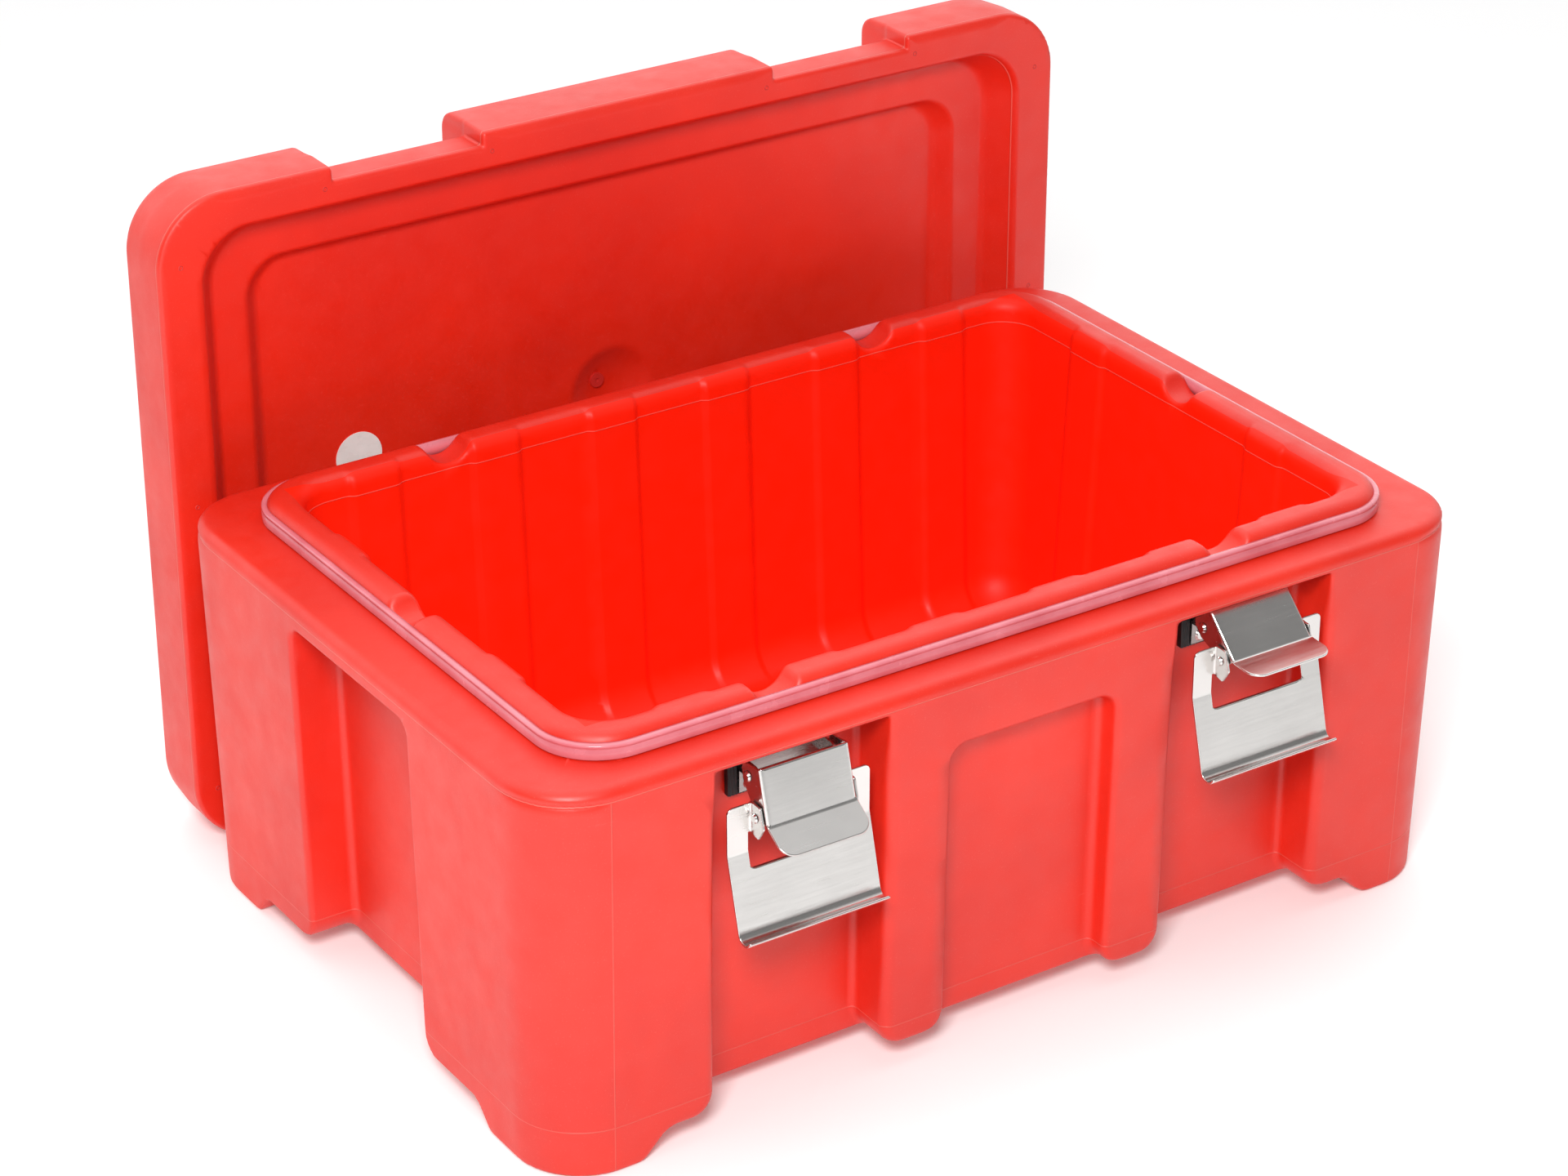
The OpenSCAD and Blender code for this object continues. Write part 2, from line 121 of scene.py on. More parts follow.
# Latches
LATCHES = ("front_left", "front_right", "rear_left", "rear_right")
OPEN_ANGLE = {"front_left": 16, "front_right": 46, "rear_left": 6, "rear_right": 6}
HOOK_LEAN = 1
SHEET_T = 1.5
LEVER_W, LEVER_Y = 60, -13.7
TAB_TOP, TAB_LEN, TAB_ANGLE, TAB_R = -28.4, 21, 42, 9.5
PIN_HOLE_R, HOOK_PIN, RIVET_HOLE_R = 2.05, (-4.8, -23.2), 1.52
PLATE_TOP = 5
HOOK_HALF, ARM_W, ARM_Y, ARM_TOP, EAR_HOLE_R = 48, 14, 4, 8, 1.55
BEND_Z, WINDOW_Z, CURL_Z, CURL_Y, CURL_R = -22, -32.5, -67, -7.5, 5
EAR_X = LEVER_W / 2 + 0.7
WALL_LEAN = math.atan(LEAN / LEDGE_Z)


# ---------------------------------------------------------------- distance fields

def both(a, b, r):
    """Where both fields are inside, with a round edge of radius r."""
    edge = np.hypot(np.maximum(a + r, 0), np.maximum(b + r, 0))
    return np.minimum(np.maximum(a, b), -r) + edge


def either(a, b, r):
    """Where one of the fields is inside, with a fillet of radius r between them."""
    return -both(-a, -b, r)


def cut(a, b, r):
    """Field a without field b, with a round edge of radius r."""
    return both(a, -b, r)


def round_rect(x, y, half_x, half_y, r):
    qx, qy = np.abs(x) - half_x + r, np.abs(y) - half_y + r
    return np.hypot(np.maximum(qx, 0), np.maximum(qy, 0)) + np.minimum(np.maximum(qx, qy), 0) - r


def smooth_step(v):
    v = np.clip(v, 0, 1)
    return v * v * (3 - 2 * v)


def sampled(field, at):
    """Field values at points given in grid units."""
    top = np.array(field.shape) - 2
    base = np.clip(np.floor(at).astype(int), 0, top)
    f = np.clip(at - base, 0, 1)
    value = 0
    for corner in np.ndindex(2, 2, 2):
        weight = np.prod(np.where(corner, f, 1 - f), axis=1)
        i, j, k = (base + corner).T
        value = value + weight * field[i, j, k]
    return value


def mesh_object(name, points, tris, quads, normals, smooth=True):
    mesh = bpy.data.meshes.new(name)
    sizes = np.concatenate([np.full(len(tris), 3), np.full(len(quads), 4)])
    corners = np.concatenate([np.asarray(tris).ravel(), np.asarray(quads).ravel()])
    mesh.vertices.add(len(points))
    mesh.vertices.foreach_set("co", np.ascontiguousarray(points, np.float32).ravel())
    mesh.loops.add(len(corners))
    mesh.loops.foreach_set("vertex_index", corners.astype(np.int32))
    mesh.polygons.add(len(sizes))
    starts = np.concatenate([[0], np.cumsum(sizes)[:-1]])
    mesh.polygons.foreach_set("loop_start", starts.astype(np.int32))
    mesh.polygons.foreach_set("use_smooth", np.full(len(sizes), smooth))
    mesh.update(calc_edges=True)
    mesh.validate()
    if normals is not None:
        mesh.normals_split_custom_set_from_vertices(normals.tolist())
    obj = bpy.data.objects.new(name, mesh)
    bpy.context.scene.collection.objects.link(obj)
    return obj


def shaped(name, field_of, low, high, voxel, place=None):
    """Meshes field_of(x, y, z) over the box low..high on a grid; place moves the mesh, in millimetres."""
    low = np.array(low, float) - 2 * voxel
    counts = np.ceil((np.array(high, float) + 2 * voxel - low) / voxel).astype(int) + 1
    x, y, z = (low[i] + voxel * np.arange(counts[i], dtype=np.float32) for i in range(3))
    field = np.broadcast_to(field_of(x[:, None, None], y[None, :, None], z[None, None, :]), counts)
    field = np.ascontiguousarray(field, np.float32) / voxel
    band = 3.0
    grid = openvdb.FloatGrid(background=band)
    grid.copyFromArray(np.clip(field, -band, band))
    at, tris, quads = grid.convertToPolygons(isovalue=0.0, adaptivity=ADAPTIVITY)
    half = 0.5
    normals = np.stack([sampled(field, at + half * axis) - sampled(field, at - half * axis)
                        for axis in np.eye(3)], axis=1)
    normals /= np.maximum(np.linalg.norm(normals, axis=1, keepdims=True), 1e-6)
    points = low + at * voxel
    # the grid's polygons may wind inwards
    faces = quads if len(quads) else tris
    a, b, c = (at[faces[:, i]] for i in range(3))
    if np.sum(np.cross(b - a, c - a) * normals[faces[:, 0]]) < 0:
        tris, quads = tris[:, ::-1], quads[:, ::-1]
    if place is not None:
        turn = np.array(place.to_3x3())
        points = points @ turn.T + np.array(place.translation)
        normals = normals @ turn.T
    return mesh_object(name, points * MM, tris, quads, normals)


# ---------------------------------------------------------------- body and lid

def body_field(x, y, z):
    ax, ay = np.abs(x), np.abs(y)
    lean = LEAN * np.clip(LEDGE_Z - z, 0, None) / LEDGE_Z
    half_x, half_y = BOX_W / 2 - lean, BOX_D / 2 - lean
    # a mould line runs round under the ledge, and opens into a groove round each corner
    line_z = LEDGE_Z - MOULD_LINE_DOWN
    near = [smooth_step((a - half + CORNER_R + PAST_CORNER) / GROOVE_FADE)
            for a, half in ((ax, half_x), (ay, half_y))]
    groove = GROOVE_IN * near[0] * near[1] * np.exp(-((z - line_z) / GROOVE_HALF) ** 2)
    solid = both(round_rect(x, y, half_x, half_y, CORNER_R) + groove, z - LEDGE_Z, WALL_EDGE_R)
    solid = both(solid, -z, UNDER_EDGE_R)
    # crossing channels under the body
    slope = math.hypot(FOOT_SLOPE, FOOT_H)
    channel_x = both(((ax - FOOT_X) * FOOT_H + z * FOOT_SLOPE) / slope, z - FOOT_H, 2)
    channel_y = both(((ay - FOOT_Y) * FOOT_H + z * FOOT_SLOPE) / slope, z - FOOT_H, 2)
    # recesses in the walls, open at the bottom
    into_x, into_y = half_x - ax, half_y - ay
    latch = both(np.abs(ax - LATCH_X) - LATCH_W / 2, z - LATCH_TOP, 1.2)
    latch = both(either(latch, channel_x, TOE_R), into_y - RECESS_DEPTH, 4)
    panel = both(ax - PANEL_W / 2, z - PANEL_TOP, 12)
    panel = both(either(panel, channel_x, TOE_R), into_y - PANEL_DEPTH, 5)
    hand = both(ay - HAND_W / 2, z - HAND_TOP, 10)
    hand = both(either(hand, channel_y, TOE_R), into_x - RECESS_DEPTH, 5)
    # the posts' edges are rounder than the edges under the ledge
    post_r = POST_TOP_R + POST_R_GAIN * smooth_step((LATCH_TOP - z) / POST_R_REACH)
    solid = cut(solid, latch, post_r)
    solid = cut(solid, panel, 4)
    solid = cut(solid, hand, 3)
    solid = cut(solid, either(channel_x, channel_y, 2.5), 2)
    for s in (-1, 1):
        plug = np.maximum(np.hypot(x - s * PLUG_X, y) - PLUG_R - 0.8, z - FOOT_H - PLUG_T - 0.3)
        solid = np.maximum(solid, -plug)
    # raised lip
    lip = round_rect(x, y, OPEN_W / 2 + LIP_T, OPEN_D / 2 + LIP_T, LIP_R)
    lip = both(both(lip, z - LIP_Z, 8), LEDGE_Z - 20 - z, 1)
    solid = either(solid, lip, 1.5)
    # inside, with ribs that lean with the walls
    down = np.clip((LIP_Z - z) / (LIP_Z - FLOOR_Z), 0, 1)
    long_rib = np.abs(np.mod(x / RIB_PITCH, 1) - 0.5) * RIB_PITCH
    long_rib = smooth_step((RIB_W / 2 + RIB_FADE - long_rib) / (2 * RIB_FADE))
    long_rib = long_rib * (ax < 3 * RIB_PITCH)
    end_rib = smooth_step((RIB_W / 2 + RIB_FADE - np.abs(ay - RIB_END)) / (2 * RIB_FADE))
    inner_x = OPEN_W / 2 - INNER_LEAN * down - RIB_T * end_rib
    inner_y = OPEN_D / 2 - INNER_LEAN * down - RIB_T * long_rib
    cavity = both(round_rect(x, y, inner_x, inner_y, INNER_R), FLOOR_Z - z, 22)
    solid = cut(solid, cavity, 8)
    # scoops through the lip
    scoop_z = LIP_Z + SCOOP_R - SCOOP_DEEP
    long_scoop = np.maximum(np.hypot(ax - LATCH_X, z - scoop_z) - SCOOP_R,
                            np.abs(ay - OPEN_D / 2 - LIP_T / 2) - LIP_T)
    end_scoop = np.maximum(np.hypot(y, z - scoop_z) - SCOOP_R,
                           np.abs(ax - OPEN_W / 2 - LIP_T / 2) - LIP_T)
    return cut(solid, np.minimum(long_scoop, end_scoop), 3)


def lid_field(x, y, z):
    u, v, w = x - LID_X, y - LID_Y, z - LID_MID_Z
    au, aw = np.abs(u), np.abs(w)
    taper = OUTER_TAPER * np.clip(v - FLANGE_T, 0, None) / (LID_T - FLANGE_T)
    outline = round_rect(u, w, LID_W / 2 - taper, LID_D / 2 - taper, CORNER_R)
    solid = both(both(outline, -v, 2.6), v - LID_T, 11)
    # cut-backs over the latches
    across = np.abs(au - LATCH_X) - LID_CUT_W / 2
    rim = LID_D / 2 - aw
    front_cut = np.maximum(across, rim - FLANGE_IN)
    back_cut = both(both(across, rim - RECESS_DEPTH, 6), FLANGE_T - v, 3)
    solid = cut(solid, front_cut, 2)
    solid = cut(solid, back_cut, 3)
    # stepped underside
    lean = np.clip(v / STEP_DEPTH, -0.2, 1.2)
    step = round_rect(u, w, LID_W / 2 - BAND_X - STEP_SLOPE_X * lean,
                      LID_D / 2 - BAND_Y - STEP_SLOPE_Y * lean, 34)
    solid = cut(solid, both(step, v - STEP_DEPTH, 3), 1.6)
    lean = np.clip((v - STEP_DEPTH) / (PANEL_IN - STEP_DEPTH), -0.5, 1.2)
    panel = round_rect(u, w, PANEL_X - PANEL_SLOPE_X * lean, PANEL_Y - PANEL_SLOPE_Y * lean, 26)
    solid = cut(solid, both(panel, v - PANEL_IN, 3), 1.8)
    # dimple with the filling hole
    ball_v = PANEL_IN - math.sqrt(DIMPLE_BALL_R ** 2 - DIMPLE_R ** 2)
    from_middle = np.hypot(u, w - DIMPLE_UP)
    dimple = np.hypot(from_middle, v - ball_v) - DIMPLE_BALL_R
    solid = cut(solid, dimple, 1.5)
    vent = np.maximum(np.hypot(u - VENT_X, w - VENT_UP) - VENT_R - 0.3, v - PANEL_IN - VENT_DEEP)
    return np.maximum(solid, -vent)


# ---------------------------------------------------------------- latches

def arc(centre, r, a, b, n):
    """Points of an arc round centre from angle a to b, in degrees."""
    steps = np.radians(np.linspace(a, b, n))
    return [(centre[0] + r * math.cos(t), centre[1] + r * math.sin(t)) for t in steps]


def rounded_path(points, r, n=6):
    """A polyline with each inner corner rounded by a curve of about radius r."""
    out = [points[0]]
    for before, at, after in zip(points, points[1:], points[2:]):
        p, a, b = np.array(at), np.array(before) - at, np.array(after) - at
        a, b = a / np.linalg.norm(a), b / np.linalg.norm(b)
        half = math.acos(np.clip(a @ b, -1, 1)) / 2
        reach = r / math.tan(half)
        start, end = p + a * reach, p + b * reach
        for t in np.linspace(0, 1, n):
            q = (1 - t) ** 2 * start + 2 * t * (1 - t) * p + t ** 2 * end
            out.append(tuple(q))
    return out + [points[-1]]


def along(path, y, z):
    """Distance to a path in the YZ plane, and how far along it the nearest point lies."""
    best = np.full(np.broadcast_shapes(y.shape, z.shape), 1e9, np.float32)
    where = np.zeros_like(best)
    run = 0.0
    for (y0, z0), (y1, z1) in zip(path, path[1:]):
        dy, dz = y1 - y0, z1 - z0
        length = math.hypot(dy, dz)
        t = ((y - y0) * dy + (z - z0) * dz) / length ** 2
        held = np.clip(t, 0, 1)
        away = np.hypot(y - y0 - held * dy, z - z0 - held * dz)
        nearer = away < best - 1e-4
        # past either end of the whole path the run keeps counting, so that the ends are cut square
        free = np.where(path[0] == (y0, z0), np.minimum(t, held), held)
        free = np.where(path[-1] == (y1, z1), np.maximum(free, t), free)
        side = np.abs((y - y0) * dz - (z - z0) * dy) / length
        away = np.where(free != held, side, away)
        best, where = np.where(nearer, away, best), np.where(nearer, run + free * length, where)
        run += length
    return best, where, run


def polygon_field(points, y, z):
    """Signed distance to a closed outline in the YZ plane."""
    best = np.full(np.broadcast_shapes(y.shape, z.shape), 1e9, np.float32)
    inside = np.zeros(best.shape, bool)
    for (y0, z0), (y1, z1) in zip(points, points[1:] + points[:1]):
        dy, dz = y1 - y0, z1 - z0
        t = np.clip(((y - y0) * dy + (z - z0) * dz) / (dy * dy + dz * dz), 0, 1)
        best = np.minimum(best, np.hypot(y - y0 - t * dy, z - z0 - t * dz))
        crosses = (z0 > z) != (z1 > z)
        inside ^= crosses & (y < (z - z0) * dy / (dz if dz else 1e-9) + y0)
    return np.where(inside, -best, best)


def lever_field(x, y, z):
    """A closed lever in its hinge pin's frame: a folded channel with a thumb tab."""
    ax = np.abs(x)
    mid = LEVER_Y + SHEET_T / 2
    tilt = math.radians(TAB_ANGLE)
    tip = (mid - TAB_LEN * math.sin(tilt), TAB_TOP - TAB_LEN * math.cos(tilt))
    path = rounded_path([(mid, PLATE_TOP), (mid, TAB_TOP), tip], 3)
    away, run, total = along(path, y, z)
    outline = both(both(ax - LEVER_W / 2, run - total, TAB_R), -run, 0.6)
    plate = both(away - SHEET_T / 2, outline, 0.35)
    outer = both(ax - LEVER_W / 2, LEVER_Y - y, 2.4)
    inner = both(ax - LEVER_W / 2 + SHEET_T, LEVER_Y + SHEET_T - y, 0.9)
    side_shape = polygon_field([(LEVER_Y - 1, PLATE_TOP), (3, 7.5), (5.5, 4), (5.5, -4), (1.2, -14),
                                (1, -25), (-2, -27), (LEVER_Y - 1, -27.5)], y, z) - 0.4
    channel = both(cut(outer, inner, 0.3), side_shape, 0.35)
    # the front corners of the channel are round, the plate's own square edge is not
    plate = np.where(z > TAB_TOP + 1.5, np.maximum(plate, outer), plate)
    lever = np.minimum(plate, channel)
    lever = np.maximum(lever, PIN_HOLE_R - np.hypot(y, z))
    return np.maximum(lever, RIVET_HOLE_R - np.hypot(y - HOOK_PIN[0], z - HOOK_PIN[1]))


def hook_field(x, y, z):
    """A hook plate in its rivets' frame: two arms, a window, a leaning plate and a curled end."""
    ax = np.abs(x)
    mid = ARM_Y + SHEET_T / 2
    slope = math.atan((ARM_Y - CURL_Y) / (BEND_Z - CURL_Z))
    centre = (CURL_Y - CURL_R * math.cos(slope), CURL_Z + CURL_R * math.sin(slope))
    curl = arc(centre, CURL_R + SHEET_T / 2, -math.degrees(slope), -158, 14)
    path = rounded_path([(mid, ARM_TOP), (mid, BEND_Z), curl[0]], 4) + curl[1:]
    away, run, total = along(path, y, z)
    window_run = ARM_TOP - WINDOW_Z
    outline = both(ax - HOOK_HALF, -run, 4)
    outline = both(outline, run - total, 1.5)
    window = both(ax - HOOK_HALF + ARM_W, run - window_run, 1.5)
    sheet = both(away - SHEET_T / 2, cut(outline, window, 1), 0.35)
    # the ears are bent forward from the arms
    ear_shape = polygon_field([(-6.5, -4), (-3.5, 6.5), (ARM_Y + 0.5, 7.2), (ARM_Y + 1, -9.5),
                               (-2.2, -11)], y, z) - 1.6
    ear = both(np.abs(ax - EAR_X - SHEET_T / 2) - SHEET_T / 2, ear_shape, 0.3)
    web = both(np.abs(y - mid) - SHEET_T / 2, np.abs(z + 1.2) - 9, 0.3)
    web = np.maximum(web, np.abs(ax - (EAR_X + HOOK_HALF) / 2 + 2) - (HOOK_HALF - EAR_X) / 2 + 2)
    hook = either(np.minimum(sheet, web), ear, 0.8)
    return np.maximum(hook, EAR_HOLE_R - np.hypot(y, z))


def latch_frame(name, at, turned):
    """The frame of a hinge at a latch, turned about X by an angle in radians."""
    half_turn = Matrix.Rotation(0 if name.startswith("front") else math.pi, 4, "Z")
    return Matrix.Translation(Vector(at)) @ half_turn @ Matrix.Rotation(turned, 4, "X")


# ---------------------------------------------------------------- swept and ribbed parts

def gasket_mesh(name):
    """The silicone band round the lip: a soft profile swept along the lip's outline."""
    half_x, half_y = OPEN_W / 2 + LIP_T, OPEN_D / 2 + LIP_T
    thick = gasket_high[0] - half_x
    z0, z1 = LEDGE_Z + 0.4, gasket_high[2] - 0.2
    flat, soft_r, top_drop, tucked = 0.9, 1.2, 0.4, 0.5
    bottom_edge, top_edge = (
        [(flat + (thick - flat) * math.cos(t), z + soft_r * math.sin(t)) for t in np.radians(turns)]
        for z, turns in ((z0 + soft_r, np.linspace(270, 360, 7)),
                         (z1 - soft_r - top_drop, np.linspace(0, 90, 7))))
    # a shallow groove runs along the band's outer face
    groove_z, groove_in = z1 - 3.4, 0.55
    groove = [(thick - 0.02, groove_z - 1.0), (thick - groove_in, groove_z - 0.45),
              (thick - groove_in, groove_z + 0.45), (thick - 0.02, groove_z + 1.0)]
    profile = [(-tucked, z0), *bottom_edge, *groove, *top_edge, (-tucked, z1 - top_drop)]
    spine = []
    for quarter in range(4):
        sx = (1, -1, -1, 1)[quarter]
        sy = (1, 1, -1, -1)[quarter]
        for t in np.radians(np.linspace(90 * quarter, 90 * quarter + 90, 17)):
            centre = np.array([sx * (half_x - LIP_R), sy * (half_y - LIP_R)])
            spine.append((centre, np.array([math.cos(t), math.sin(t)])))
    points = [(*(c + n * (LIP_R + out)), z) for c, n in spine for out, z in profile]
    n, m = len(spine), len(profile)
    quads = [(i * m + j, ((i + 1) % n) * m + j, ((i + 1) % n) * m + (j + 1) % m, i * m + (j + 1) % m)
             for i in range(n) for j in range(m)]
    return mesh_object(name, np.array(points) * MM, NO_TRIANGLES, np.array(quads), None)


def pin_marks_mesh(name):
    """Small raised rings on the lid's rim, by its corners and beside its cut-backs."""
    from_side, from_edge, corner_from_edge, side_mark_up, beside_cut = 15, 13, 42, 20, 6
    side_u, edge_w = LID_W / 2 - from_side, LID_D / 2 - from_edge
    corner_w = LID_D / 2 - corner_from_edge
    places = [(s * side_u, t * corner_w) for s in (-1, 1) for t in (-1, 1)]
    places += [(s * side_u, side_mark_up) for s in (-1, 1)]
    places += [(s * (LATCH_X + k * (LID_CUT_W / 2 + beside_cut)), t * edge_w)
               for s in (-1, 1) for k in (-1, 1) for t in (-1, 1)]
    ring_r, wire_r, around, through = 1.3, 0.4, 16, 6
    points, quads = [], []
    for u, w in places:
        base = len(points)
        for i in range(around):
            turn = 2 * math.pi * i / around
            for j in range(through):
                bend = 2 * math.pi * j / through
                r = ring_r + wire_r * math.cos(bend)
                points.append((LID_X + u + r * math.cos(turn), LID_Y + 0.1 - wire_r * math.sin(bend),
                               LID_MID_Z + w + r * math.sin(turn)))
                quads.append((base + i * through + j, base + i * through + (j + 1) % through,
                              base + ((i + 1) % around) * through + (j + 1) % through,
                              base + ((i + 1) % around) * through + j))
    return mesh_object(name, np.array(points) * MM, NO_TRIANGLES, np.array(quads), None)


def pad_mesh(name, latch):
    """A rubber pad with upright ribs on its front."""
    low, high = node_box(f"{latch}_backing_pad")
    outward = -1 if latch.startswith("front") else 1
    end_gap, bevel, foot_out = 0.4, 0.6, 0.8
    height = high[2] - low[2] - 2 * end_gap
    thick = 4.0
    width = high[0] - low[0]
    pitch, deep, rib_steps = 2.2, 0.5, 8
    steps = int(width / pitch) * rib_steps
    front = [(width * (i / steps - 0.5),
              thick - deep * (0.5 + 0.5 * math.cos(2 * math.pi * i / rib_steps)))
             for i in range(steps + 1)]
    ring = [(-width / 2, 0.0)] + front + [(width / 2, 0.0)]
    m = len(ring)
    levels = [(0, bevel), (bevel, 0), (height - bevel, 0), (height, bevel)]
    back = high[1] if outward < 0 else low[1]
    middle = (low[0] + high[0]) / 2
    points = []
    for up, inset in levels:
        for px, py in ring:
            scale = 1 - 2 * inset / width
            out = max(py - inset, 0.0)
            points.append((middle + px * scale, back + outward * (out + foot_out * (1 - up / height)),
                           low[2] + end_gap + up))
    quads = [(k * m + i, k * m + (i + 1) % m, (k + 1) * m + (i + 1) % m, (k + 1) * m + i)
             for k in range(len(levels) - 1) for i in range(m)]
    caps = [(0, i + 1, i) for i in range(1, m - 1)]
    top = (len(levels) - 1) * m
    caps += [(top, top + i, top + i + 1) for i in range(1, m - 1)]
    if outward > 0:
        quads = [q[::-1] for q in quads]
        caps = [c[::-1] for c in caps]
    return mesh_object(name, np.array(points) * MM, np.array(caps), np.array(quads), None, smooth=False)


# ---------------------------------------------------------------- materials

def new_material(name, **values):
    material = bpy.data.materials.new(name)
    material.use_nodes = True
    nodes, links = material.node_tree.nodes, material.node_tree.links
    shader = nodes["Principled BSDF"]
    for key, value in values.items():
        shader.inputs[key.replace("_", " ")].default_value = value
    return material, nodes, links, shader


def add_noise(nodes, links, scale, detail, rough=0.5, stretch=None):
    coords = nodes.new("ShaderNodeTexCoord")
    noise = nodes.new("ShaderNodeTexNoise")
    noise.inputs["Scale"].default_value = scale
    noise.inputs["Detail"].default_value = detail
    noise.inputs["Roughness"].default_value = rough
    if stretch:
        mapping = nodes.new("ShaderNodeMapping")
        mapping.inputs["Scale"].default_value = stretch
        links.new(coords.outputs["Object"], mapping.inputs["Vector"])
        links.new(mapping.outputs["Vector"], noise.inputs["Vector"])
    else:
        links.new(coords.outputs["Object"], noise.inputs["Vector"])
    return noise.outputs["Fac"]


def ramp(nodes, links, source, stops):
    node = nodes.new("ShaderNodeValToRGB")
    elements = node.color_ramp.elements
    while len(elements) < len(stops):
        elements.new(0.5)
    for element, (position, color) in zip(elements, stops):
        element.position = position
        element.color = (*color, 1)
    links.new(source, node.inputs["Fac"])
    return node.outputs["Color"]


def to_range(nodes, links, source, low, high, from_low=0.3, from_high=0.7):
    node = nodes.new("ShaderNodeMapRange")
    node.inputs["From Min"].default_value = from_low
    node.inputs["From Max"].default_value = from_high
    node.inputs["To Min"].default_value = low
    node.inputs["To Max"].default_value = high
    links.new(source, node.inputs["Value"])
    return node.outputs["Result"]


def mixed(nodes, links, factor, a, b):
    node = nodes.new("ShaderNodeMix")
    node.data_type = "RGBA"
    links.new(factor, node.inputs["Factor"])
    for socket, value in (("A", a), ("B", b)):
        target = next(i for i in node.inputs if i.name == socket and i.type == "RGBA")
        if isinstance(value, tuple):
            target.default_value = (*value, 1)
        else:
            links.new(value, target)
    return next(o for o in node.outputs if o.type == "RGBA")


def add_bump(nodes, links, shader, source, strength, distance, below=None):
    node = nodes.new("ShaderNodeBump")
    node.inputs["Strength"].default_value = strength
    node.inputs["Distance"].default_value = distance
    links.new(source, node.inputs["Height"])
    if below is not None:
        links.new(below, node.inputs["Normal"])
    links.new(node.outputs["Normal"], shader.inputs["Normal"])
    return node.outputs["Normal"]


def arithmetic(nodes, links, operation, a, b=0.0):
    node = nodes.new("ShaderNodeMath")
    node.operation = operation
    for socket, value in zip(node.inputs, (a, b)):
        if isinstance(value, (int, float)):
            socket.default_value = value
        else:
            links.new(value, socket)
    return node.outputs["Value"]


def line_at(nodes, links, coordinate, at, half=0.0005):
    """A thin line where an Object coordinate, in metres, has one value."""
    away = arithmetic(nodes, links, "ABSOLUTE", arithmetic(nodes, links, "SUBTRACT", coordinate, at))
    return to_range(nodes, links, away, 1, 0, 0.4 * half, half)


def body_lines(nodes, links):
    """The mould's parting lines, and a mask of the box's inside, where the body's material paints a brighter,
    deeper red for light bouncing round inside.
    """
    def calc(operation, a, b=0.0):
        return arithmetic(nodes, links, operation, a, b)

    split = nodes.new("ShaderNodeSeparateXYZ")
    links.new(nodes.new("ShaderNodeTexCoord").outputs["Object"], split.inputs["Vector"])
    x, y, z = split.outputs
    mould_z = (LEDGE_Z - MOULD_LINE_DOWN) * MM
    within_x = calc("LESS_THAN", calc("ABSOLUTE", x), (OPEN_W / 2 + INSIDE_MARGIN) * MM)
    within_y = calc("LESS_THAN", calc("ABSOLUTE", y), (OPEN_D / 2 + INSIDE_MARGIN) * MM)
    inside = calc("MULTIPLY", within_x, within_y)
    outside = calc("SUBTRACT", 1.0, inside)
    wall = line_at(nodes, links, z, mould_z)
    toe = calc("MULTIPLY", line_at(nodes, links, z, (FOOT_H + TOE_R) * MM), 0.7)
    seam = line_at(nodes, links, calc("ABSOLUTE", x), SEAM_X * MM)
    seam = calc("MULTIPLY", seam, calc("MULTIPLY", calc("LESS_THAN", z, mould_z), 0.6))
    outer = calc("MAXIMUM", calc("MAXIMUM", wall, toe), seam)
    lip = calc("MULTIPLY", inside, line_at(nodes, links, z, INNER_LINE_Z * MM))
    return calc("MAXIMUM", calc("MULTIPLY", outside, outer), lip), inside


def lid_lines(nodes, links):
    """The parting line just behind the edge of the lid's rim."""
    split = nodes.new("ShaderNodeSeparateXYZ")
    links.new(nodes.new("ShaderNodeTexCoord").outputs["Object"], split.inputs["Vector"])
    return line_at(nodes, links, split.outputs[1], (LID_Y + RIM_LINE_IN) * MM), None


def plastic(name, deep, plain, pale, rough=(0.42, 0.54), lines=None):
    """Rotomoulded polyethylene: mottled, with a fine grain, faint flow clouds and pale scuffs."""
    material, nodes, links, shader = new_material(name, IOR=1.5, Specular_IOR_Level=0.7)
    clouds = ramp(nodes, links, add_noise(nodes, links, 9, 3), [(0.32, deep), (0.66, plain)])
    grain = add_noise(nodes, links, 420, 3, 0.65)
    speckle = to_range(nodes, links, add_noise(nodes, links, 900, 2, 0.7), 0, 0.22, 0.62, 0.80)
    color = mixed(nodes, links, speckle, clouds, pale)
    scuff = to_range(nodes, links, add_noise(nodes, links, 30, 8, 0.75, (1, 1, 6)),
                     0, 0.30, 0.66, 0.80)
    color = mixed(nodes, links, scuff, color, pale)
    if lines:
        line, inside = lines(nodes, links)
        if inside is not None:
            # inside the box the colour turns to the painted bounce-light red
            color = mixed(nodes, links, inside, color, RED_INSIDE_PAINTED_BOUNCE)
            links.new(to_range(nodes, links, inside, 0.7, 0.3, 0, 1), shader.inputs["Specular IOR Level"])
        color = mixed(nodes, links, arithmetic(nodes, links, "MULTIPLY", line, 0.35), color, pale)
    links.new(color, shader.inputs["Base Color"])
    links.new(to_range(nodes, links, add_noise(nodes, links, 60, 5), *rough), shader.inputs["Roughness"])
    peel = add_noise(nodes, links, 120, 2)
    under = add_bump(nodes, links, shader, peel, 0.12, 0.0006)
    fine_grain = add_bump(nodes, links, shader, grain, 0.25, 0.00018, under)
    if lines:
        add_bump(nodes, links, shader, line, 0.8, 0.0004, fine_grain)
    return material


